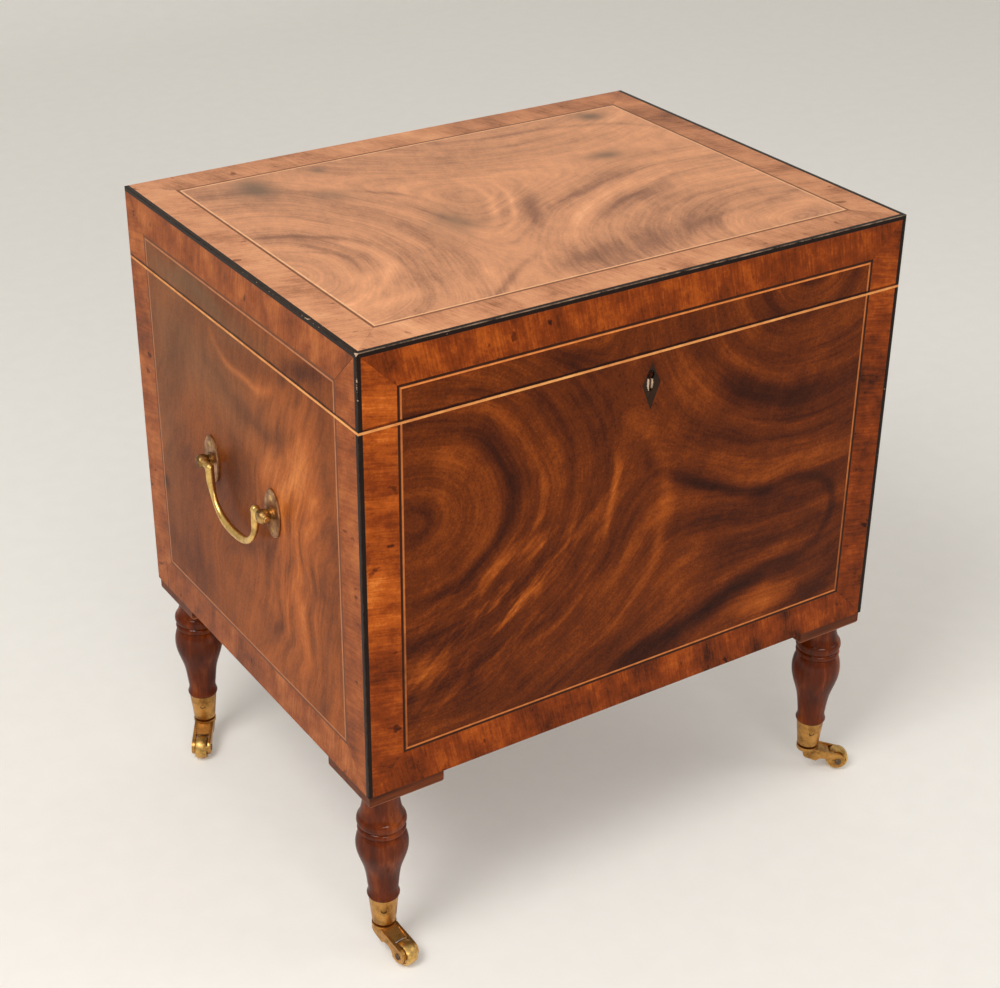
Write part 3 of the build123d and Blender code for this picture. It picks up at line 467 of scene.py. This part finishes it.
def crossbanding(name, low, high):
    material, shader, x, y, z = new_finish(name, Specular_IOR_Level=0.08)
    front, top, side, face_x, from_end, from_rim = faces(x, y, z, low, high)
    left = x < 0.0
    face_z = z * (1.0 - top) + y * top
    upright = from_end < from_rim
    across = face_x * upright + face_z * (1.0 - upright)
    run = face_z * upright + face_x * (1.0 - upright) + across * 0.22
    seed = side * 3.0 + top * 7.0 + upright * 1.7
    strip = mottle(point(run * 24.0, across * 8.0, seed), 1.0, 5.0, 0.65)
    cloud = mottle(point(run * 42.0, across * 42.0, seed + 4.0), 1.0, 4.0, 0.65)
    fine = mottle(point(run * 560.0, across * 40.0, seed), 1.0, 3.0, 0.6)
    grit = mottle(point(x, y, z), 620.0, 4.0, 0.7)
    flecks = mottle(point(run * 105.0, across * 62.0, seed), 1.0, 2.0).step(0.665, 0.735)
    mitre = 1.0 - abs(from_end - from_rim).step(0.0001, 0.0004)
    gaping = side * left * (face_x < 0.0) * (z > lid_foot)
    notch = side * left * (1.0 - abs(y - notch_y).step(0.0002, 0.0006)) * (z < notch_top)
    # Painted light: the left front uprights are lighter from 0.22 m to about 0.5 m up.
    painted_light_left = front * upright * left * z.step(0.22, 0.36) * (1.0 - z.step(0.480, 0.512)) * 0.18
    # Painted shade: the front's bottom band is darker, and the front's right half a little darker.
    shaded = front * (1.0 - z.step(0.16, 0.22)) * 0.08 + front * (1.0 - left) * 0.04
    tone = 0.42 + (strip - 0.5) * 1.15 + (cloud - 0.5) * 0.9
    tone = tone + (fine - 0.5) * 0.55 + (grit - 0.5) * 0.4 - flecks * 0.34 + painted_light_left - shaded
    # Darker along the lid's lower edge: dirt, and painted shade of the lid gap.
    tone = tone - mitre * (gaping * 0.5 + 0.12) - notch * 0.5 - grime_and_gap_shade(face_x, z) * 0.4
    tone = tone.held()
    plain = tone.ramp(
        (0.0, dye(46, 15, 3)),
        (0.42, dye(134, 56, 11)),
        (0.7, dye(184, 88, 24)),
        (1.0, dye(230, 134, 56)),
    )
    # The top copy: bleached, and paler still with painted glare from the light above.
    bleached_with_glare = tone.ramp(
        (0.0, dye(136, 84, 56)),
        (0.42, dye(202, 138, 98)),
        (1.0, dye(240, 176, 128)),
    )
    sides = tone.ramp(
        (0.0, dye(74, 30, 8)),
        (0.42, dye(150, 76, 32)),
        (1.0, dye(214, 128, 66)),
    )
    # How much of the top copy shows: painted glare, weaker to the right and back.
    paled = top * (1.0 - (x + y * 0.8).step(0.02, 0.40) * 0.35)
    base = top.between(side.between(plain, sides), paled.between(plain, bleached_with_glare))
    relief = fine - flecks - mitre * (gaping + 0.2) - notch
    dress(shader, base, 0.32 + fine * 0.14, relief, 0.00006)
    return material


lay_on(crossbanding("banding_carcass", carcass_foot, no_edge), "carcass_crossbands")
lay_on(crossbanding("banding_lid", -no_edge, lid_top), "lid_crossbands")


# Stringing: an ebony line with a boxwood line inside it, let into the joint of panel and banding.
# A wider boxwood line is glued into the rim of the carcass, under the lid.
band_width = 0.030
ebony_edge = (0.0018, 0.0024)


def stringing(name, low, high):
    material, shader, x, y, z = new_finish(name, Specular_IOR_Level=0.1)
    front, top, side, face_x, from_end, from_rim = faces(x, y, z, low, high)
    pale = (from_end.least(from_rim) - band_width).step(*ebony_edge)
    # Inner line dimmer on the uprights, and darker below 0.3 m on front and sides as painted shade.
    dull = ((from_end < from_rim) * 0.55 + (z < 0.3) * 0.35 * (1.0 - top)).held()
    wear = mottle(point(x, y, z), 140.0, 4.0, 0.6)
    ebony = wear.between(dye(18, 7, 3), dye(74, 34, 12))
    paled = wear.between(dye(86, 42, 20), dye(134, 78, 44))
    # The top copy of the ebony line: bleached, with painted glare from the light above.
    bleached_with_glare = wear.between(dye(104, 62, 40), dye(150, 98, 66))
    outer = top.between(side.between(ebony, paled), bleached_with_glare)
    bright = wear.between(dye(176, 84, 28), dye(252, 158, 84))
    dusky = wear.between(dye(104, 46, 14), dye(186, 104, 52))
    # The top copy of the inner line: pale, with a painted highlight along it, and rubbed.
    rubbed_and_sheen = wear.between(dye(206, 142, 98), dye(255, 200, 152))
    beside = wear.between(dye(146, 84, 48), dye(208, 138, 92))
    inner = front.between(top.between(beside, rubbed_and_sheen), dull.between(bright, dusky))
    # The lid's lower edge goes dark brown: dirt, and painted shade of the lid gap.
    base = grime_and_gap_shade(face_x, z).between(pale.between(outer, inner), dye(34, 14, 6))
    dress(shader, base, 0.34 + wear * 0.15, wear, 0.00005)
    return material


lay_on(stringing("lines_carcass", carcass_foot, no_edge), "carcass_stringing")
lay_on(stringing("lines_lid", -no_edge, lid_top), "lid_stringing")

material, shader, x, y, z = new_finish("boxwood_rim", Specular_IOR_Level=0.12)
wear = mottle(point(x, y, z), 120.0, 4.0, 0.65)
stain = mottle(point(x, y, z), 22.0, 3.0, 0.6)
tone = 0.5 + (wear - 0.5) * 0.9 + (stain - 0.5) * 1.4
base = tone.held().between(dye(190, 96, 40), dye(255, 186, 110))
dress(shader, base, 0.36 + wear * 0.15, wear, 0.00006)
lay_on(material, "rim_lines")


# Edge strings: square ebony strips let into the lid's top edges and the front corners to guard
# them. Black, with a dull polish and a pale painted highlight along the arrises, strongest on the
# front top one and broken up like rubbed wear, chipped here and there, and worn to pale wood at
# the tip of the lid's front left corner.
material, shader, x, y, z = new_finish(
    "ebony_edges", Coat_Weight=0.12, Coat_Roughness=0.12, Specular_IOR_Level=0.06
)
rub = mottle(point(x, y, z), 160.0, 4.0, 0.65)
run = mottle(point(x, y, z), 24.0, 3.0, 0.6)
speck = mottle(point(x, y, z), 420.0, 2.0, 0.5)
to_side, to_front, to_top = half_width - abs(x), y + half_depth, lid_top - z
to_corner = to_side + to_front + to_top
from_arris = to_corner - to_side.most(to_front).most(to_top)
round_over = (0.0011 - from_arris).most(0.0) * 900.0
along_front = (z > lid_top - 0.0020) * (y < 0.0017 - half_depth)
# Painted highlight along the arrises, broken up by noise, strongest along the front top one.
rubbed_and_sheen = (1.0 - from_arris.step(0.0003, 0.0007)) * (rub + run - 0.76).held()
rubbed_and_sheen = (rubbed_and_sheen * (along_front * 2.2 + 0.3)).held()
tip = (to_corner + rub * 0.003 < 0.0036) * (x < 0.0)
chips = (speck * 0.5 + run * 0.5 + round_over * 0.05 + tip).step(0.66, 0.69)
black = rub.between(dye(8, 4, 2), dye(36, 18, 8))
base = chips.between(rubbed_and_sheen.between(black, dye(156, 128, 104)), dye(200, 166, 138))
relief = rub * 0.08 - chips * 0.4 - round_over * round_over * 0.5
dress(shader, base, 0.22 + rub * 0.2 + chips * 0.2, relief, 0.0009)
lay_on(material, "carcass_edge_strings", "lid_edge_strings")


# Escutcheon: an ebony lozenge let into the front veneer round the keyhole, brown-green with old
# polish, painted black round the hole as painted shade, and pale and chalky over the slot below
# it: worn wood with painted light from the slot's lit inside. Set out in millimetres from the
# carcass rim above the keyhole.
keyhole_x, carcass_rim = 0.0013, 0.467
material, shader, x, y, z = new_finish("ebony_lozenge", Specular_IOR_Level=0.1)
rub = mottle(point(x, y, z), 300.0, 3.0, 0.6)
crumb = mottle(point(x, y, z), 900.0, 3.0, 0.6)
kx, kz = (x - keyhole_x) * mm, (z - carcass_rim) * mm
# Pale patch over the slot: worn wood, and painted light for the slot's lit inside.
worn_and_lit_slot = (offset(kx, kz, (-0.5, -24.0, 2.9, 6.2, 0.0)) + (crumb - 0.5) * 2.0).step(1.0, 0.8)
# Painted shade: black round the keyhole's round top.
painted_hole_shade = (offset(kx, kz, (0.0, -17.6, 3.8, 4.0, 0.0)) + (rub - 0.5) * 0.5).step(1.0, 0.8)
stain = rub.between(dye(20, 12, 6), dye(62, 38, 20))
chalk = crumb.between(dye(120, 92, 72), dye(250, 222, 190))
base = painted_hole_shade.between(worn_and_lit_slot.between(stain, chalk), dye(8, 4, 2))
dress(shader, base, 0.32 + rub * 0.2, rub - worn_and_lit_slot, 0.0001)
lay_on(material, "escutcheon")


# Lock, link plate and hinges: brass plates and cases, let in flush and screwed to the boards.
# Old and long handled: brown in the hollows and on the flats, yellow where it is rubbed.
def old_brass(name, bright, brown, tarnish, dents=1.0):
    """Brass with brown tarnish: tarnish is how much of it is dark, dents how rough it is cast."""
    material, shader, x, y, z = new_finish(name, Metallic=1.0)
    place = point(x, y, z)
    cloud = mottle(place, 90.0, 5.0, 0.62)
    speck = mottle(place, 420.0, 3.0, 0.6)
    dark = (cloud * 0.75 + speck * 0.25 + (tarnish - 0.5) * 0.4).step(0.36, 0.70)
    roughness = 0.27 + dark * 0.2 + speck * 0.1
    dress(shader, dark.between(bright, brown), roughness, speck * 0.3 + cloud, 0.00012 * dents)
    return material


fitting_brass = old_brass("brass_fittings", dye(226, 184, 108), dye(124, 88, 46), 0.5)
lay_on(fitting_brass, "lock_case", "lock_link_plate", "hinge_case_leaves", "hinge_lid_leaves")
lay_on(fitting_brass, "case_screws", "lid_screws")


# Lock bolt and hinge pins: wrought iron, filed to size and left bare, so that it has rusted
# grey-brown. The bolt slides in the lock case, the pins hold the hinge leaves together.
iron, shader, x, y, z = new_finish("wrought_iron", Metallic=1.0)
rust = mottle(point(x, y, z), 260.0, 5.0, 0.65)
base = rust.step(0.32, 0.62).between(dye(124, 112, 96), dye(84, 60, 42))
dress(shader, base, 0.3 + rust * 0.3, rust, 0.0001)
lay_on(iron, "hinge_pins", "lock_bolt")


# Bottle partitions: thin mahogany boards halved over each other to make twelve places.
# Unpolished, paler than the carcass, loose so that they lift out.
shaded, planed = dye(86, 46, 24), dye(170, 112, 70)
lay_on(sawn_board("partition_along_x", False, shaded, planed), "long_partitions")
lay_on(sawn_board("partition_along_y", True, shaded, planed), "cross_partitions")


# Lid boards: top, front, back and sides of the same plain mahogany as the carcass, dovetailed
# like it and hollow inside to clear the bottle necks.
lay_on(board_along_x, "lid_front_board", "lid_back_board", "lid_top_board")
lay_on(board_along_y, "lid_side_boards")


# Legs and corner blocks: mahogany turned in the lathe, each leg with a dowel up into its block.
# The legs are dark red-brown under a bright polish; the blocks are rubbed orange along the top of
# their lower edge moulding, a band that also carries a painted highlight.
material, shader, x, y, z = new_finish(
    "turned_mahogany", Coat_Weight=0.42, Coat_Roughness=0.06, Specular_IOR_Level=0.0
)
streak = mottle(point(x * 130.0, y * 130.0, z * 9.0), 1.0, 4.0, 0.6)
pores = mottle(point(x * 1500.0, y * 1500.0, z * 90.0), 1.0, 1.0).step(0.62, 0.76)
cloud = mottle(point(x, y, z), 30.0, 2.0)
tone = 0.45 + (streak - 0.5) * 1.2 + (cloud - 0.5) * 0.8 - pores * 0.2
base = tone.held().ramp((0.0, dye(38, 8, 0)), (0.5, dye(98, 36, 2)), (1.0, dye(170, 84, 26)))
dress(shader, base, 0.24 + streak * 0.16, streak * 0.3 - pores, 0.00005)
corners = ("front_left", "front_right", "back_left", "back_right")
lay_on(material, *[corner + "_leg" for corner in corners])

block_foot, edge_start, edge_end = 0.1551, 0.1568, 0.1600
material, shader, x, y, z = new_finish("block_mahogany", Specular_IOR_Level=0.1)
streak = mottle(point(x * 11.0, y * 160.0, z * 160.0), 1.0, 4.0, 0.6)
pores = mottle(point(x * 110.0, y * 1500.0, z * 1500.0), 1.0, 1.0).step(0.62, 0.76)
# Rubbed wear, with a painted highlight along the top of the lower edge moulding.
rubbed_and_sheen = (z > block_foot) * (1.0 - (z + streak * 0.0022).step(edge_start, edge_end)) * 0.42
tone = 0.36 + (streak - 0.5) * 1.1 - pores * 0.2 + rubbed_and_sheen
base = tone.held().ramp((0.0, dye(40, 16, 6)), (0.5, dye(112, 54, 24)), (1.0, dye(196, 120, 64)))
dress(shader, base, 0.32 + streak * 0.18, streak * 0.3 - pores, 0.00006)
lay_on(material, "corner_blocks")


# Castors: cast brass cups screwed to the leg ends, forked horns that swivel under them,
# and small crowned wheels on riveted iron axles. The screws are dark with dirt in their slots.
castor_brass = old_brass("brass_castors", dye(202, 150, 82), dye(124, 86, 42), 0.44, 0.35)
wheel_brass = old_brass("brass_wheels", dye(228, 184, 108), dye(124, 86, 42), 0.46, 0.5)
screw_brass = old_brass("brass_cup_screws", dye(160, 124, 84), dye(56, 38, 24), 0.7)
for corner in corners:
    lay_on(castor_brass, corner + "_castor_cup", corner + "_castor_horn")
    lay_on(wheel_brass, corner + "_castor_wheel")
    lay_on(iron, corner + "_castor_axle")
lay_on(screw_brass, "cup_screws")


# Side handles: oval brass plates screwed to the sides, turned posts through them, and a swan bail
# that swings on the posts' pins. The bails are rubbed bright; the plates are brown, warmed by a
# painted reflection of the wood round them.
bail_brass = old_brass("brass_bails", dye(232, 192, 116), dye(146, 108, 52), 0.4, 0.25)
post_brass = old_brass("brass_posts", dye(206, 162, 98), dye(92, 62, 34), 0.6, 0.6)
# Plates: brown tarnish, with a warm pinkish tone that is painted reflection of the side veneer.
plate_brass = old_brass("brass_plates", dye(196, 148, 104), dye(118, 76, 46), 0.6, 0.4)
lay_on(bail_brass, "left_bail", "right_bail")
lay_on(post_brass, "handle_posts")
lay_on(plate_brass, "handle_plates", "handle_nuts")


# Studio: a plain pale floor that runs up into a plain backdrop, one wide soft lamp above and to
# the left of the chest, a weaker one to the right, a long narrow one in front that draws
# highlights on legs and brass, and an even grey sky for the rest.
material, shader, x, y, z = new_finish("studio_paper", Roughness=0.9, Emission_Strength=1.0)
weave = mottle(point(x, y, z), 40.0, 3.0)
base = weave.between(dye(226, 222, 215), dye(232, 228, 221))
rays = weave.source("LightPath")
seen = rays["Is Camera Ray"].most(rays["Is Glossy Ray"]).most(rays["Is Transmission Ray"])
lift = seen.between((0.0, 0.0, 0.0, 1.0), (0.13, 0.125, 0.115, 1.0))
join(shader, Base_Color=base, Emission_Color=lift)

span, back, bend, wall_top = 24.0, 2.2, 0.8, 4.0
sweep = bmesh.new()
near_edge = sweep.verts.new((-span / 2, -span / 2, 0.0))
bend_start = sweep.verts.new((-span / 2, back, 0.0))
sweep.edges.new((near_edge, bend_start))
turned = bmesh.ops.spin(
    sweep,
    geom=[bend_start],
    cent=(-span / 2, back, bend),
    axis=(1.0, 0.0, 0.0),
    angle=math.radians(90.0),
    steps=16,
)
bend_end = turned["geom_last"][0]
top_edge = sweep.verts.new((-span / 2, bend_end.co.y, wall_top))
sweep.edges.new((bend_end, top_edge))
drawn_out = bmesh.ops.extrude_edge_only(sweep, edges=sweep.edges[:])
far_side = [part for part in drawn_out["geom"] if isinstance(part, bmesh.types.BMVert)]
bmesh.ops.translate(sweep, verts=far_side, vec=(span, 0.0, 0.0))
bmesh.ops.recalc_face_normals(sweep, faces=sweep.faces[:])
mesh = bpy.data.meshes.new("studio_sweep")
sweep.to_mesh(mesh)
sweep.free()
for face in mesh.polygons:
    face.use_smooth = True
floor = bpy.data.objects.new("studio_sweep", mesh)
bpy.context.scene.collection.objects.link(floor)
mesh.materials.append(material)

chest_middle = Vector((0.0, 0.0, 0.3))
for name, power, width, height, spot in (
    ("lamp_above_left", 36.0, 1.1, 1.1, (-1.5, -0.6, 2.2)),
    ("lamp_right", 6.0, 1.2, 1.2, (1.9, -1.6, 1.5)),
    ("lamp_front", 14.0, 1.2, 0.35, (-0.6, -2.3, 1.35)),
):
    lamp = bpy.data.lights.new(name, "AREA")
    lamp.energy = power
    lamp.shape = "RECTANGLE"
    lamp.size = width
    lamp.size_y = height
    holder = bpy.data.objects.new(name, lamp)
    holder.location = spot
    aim = chest_middle - holder.location
    holder.rotation_euler = aim.to_track_quat("-Z", "Y").to_euler()
    bpy.context.scene.collection.objects.link(holder)

world = bpy.data.worlds.new("studio_sky")
bpy.context.scene.world = world
world.use_nodes = True
sky = world.node_tree.nodes["Background"]
sky.inputs["Color"].default_value = (1.0, 0.99, 0.97, 1.0)
sky.inputs["Strength"].default_value = 0.5

looking_down, turned_right, tipped = 28.853, 33.295, 0.595
camera = bpy.data.cameras.new("camera")
camera.lens = 69.81
stand = bpy.data.objects.new("camera", camera)
bpy.context.scene.collection.objects.link(stand)
view = Euler((math.radians(90.0 - looking_down), 0.0, math.radians(-turned_right))).to_matrix()
view = view @ Matrix.Rotation(math.radians(tipped), 3, "Z")
stand.matrix_world = Matrix.Translation((-0.78444, -1.18412, 1.04802)) @ view.to_4x4()
bpy.context.scene.camera = stand
bpy.context.scene.view_settings.view_transform = "Standard"
